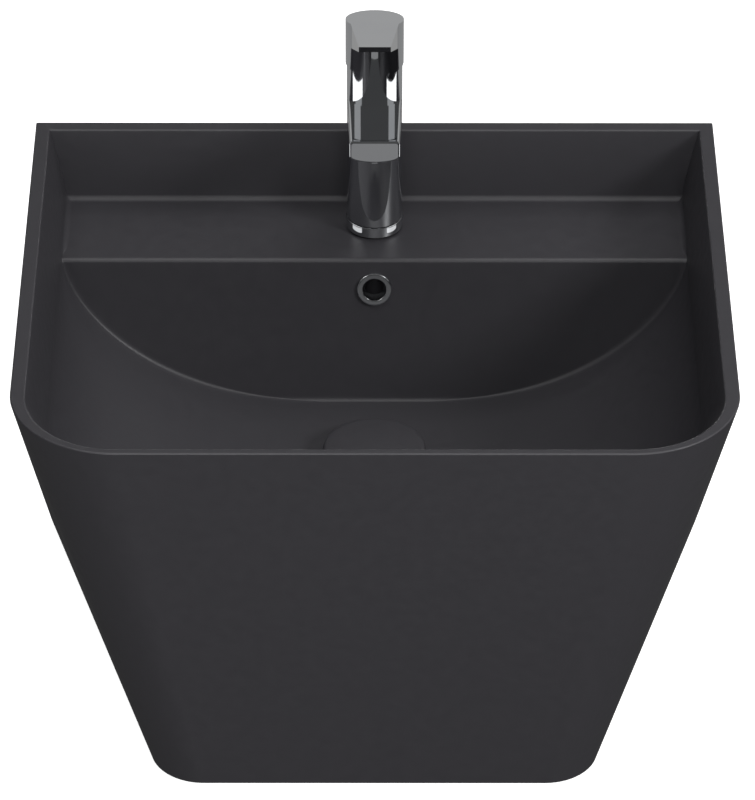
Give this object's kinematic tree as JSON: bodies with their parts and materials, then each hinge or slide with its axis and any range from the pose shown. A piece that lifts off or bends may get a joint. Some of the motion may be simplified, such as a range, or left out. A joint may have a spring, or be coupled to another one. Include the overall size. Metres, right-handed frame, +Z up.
{
  "type": "wall-hung washbasin",
  "caption": "Short one-piece washbasin with a tapering shroud, a shelf with a single-lever mixer, a push-down waste and a bottle trap inside.",
  "frame": {"origin": "under the middle of the box, on the plane of the ceramic foot", "axes": "+X to the right seen from the front, +Y towards the wall, +Z up"},
  "size_m": [0.55, 0.475, 0.5389],
  "materials": {
    "anthracite_ceramic": "matt glaze with a soft sheen",
    "chrome": "polished",
    "brass": "machined",
    "stainless_steel": "plain",
    "copper": "drawn tube",
    "black_rubber": "matt",
    "white_plastic": "moulded",
    "grey_plastic": "moulded"
  },
  "bodies": {
    "basin": {"basin_body": "anthracite_ceramic", "overflow_ring": "chrome", "waste_body": "chrome", "trap_cup": "chrome", "trap_body": "chrome", "trap_inlet": "chrome", "trap_nut": "chrome", "trap_collar_nut": "chrome", "trap_outlet_nut": "chrome", "trap_outlet_pipe": "chrome", "wall_rosette": "chrome", "tap_body": "chrome", "aerator_housing": "chrome", "tap_base_ring": "chrome", "cartridge_dome": "chrome", "waste_backnut": "brass", "cartridge_nut": "brass", "click_spring": "stainless_steel", "horseshoe_plate": "stainless_steel", "fixing_stud": "stainless_steel", "fixing_nut": "stainless_steel", "wall_stud_left": "stainless_steel", "wall_stud_right": "stainless_steel", "wall_washer_left": "stainless_steel", "wall_washer_right": "stainless_steel", "wall_nut_left": "stainless_steel", "wall_nut_right": "stainless_steel", "inlet_tail_hot": "copper", "inlet_tail_cold": "copper", "waste_top_gasket": "black_rubber", "waste_lower_gasket": "black_rubber", "trap_cup_seal": "black_rubber", "trap_washer": "black_rubber", "tap_base_gasket": "black_rubber", "horseshoe_seal": "black_rubber", "aerator_insert": "white_plastic", "wall_sleeve_left": "white_plastic", "wall_sleeve_right": "white_plastic", "click_holder": "grey_plastic", "cartridge_body": "grey_plastic"},
    "mixer_rotor": {"cartridge_rotor": "white_plastic", "cartridge_pin": "stainless_steel"},
    "handle": {"handle": "chrome", "cartridge_stem": "brass", "handle_screw": "stainless_steel", "handle_plug": "grey_plastic"},
    "waste_plug": {"waste_cap": "anthracite_ceramic", "cap_seal": "black_rubber", "waste_stem": "brass"}
  },
  "joints": [
    {"name": "handle_swivel", "type": "hinge", "parent": "basin", "child": "mixer_rotor", "pos_m": [0, 0.1865, 0.4828], "axis": [0, 0, 1], "range_deg": [-50, 50]},
    {"name": "handle_lift", "type": "hinge", "parent": "mixer_rotor", "child": "handle", "pos_m": [0, 0.1865, 0.4828], "axis": [-1, 0, 0], "range_deg": [0, 25]},
    {"name": "waste_cap_travel", "type": "slide", "parent": "basin", "child": "waste_plug", "axis": [0, 0, -1], "range_m": [0, 0.0065], "stiffness_N_per_m": 600, "springref_m": -0.006, "deforming": ["click_spring"]}
  ]
}
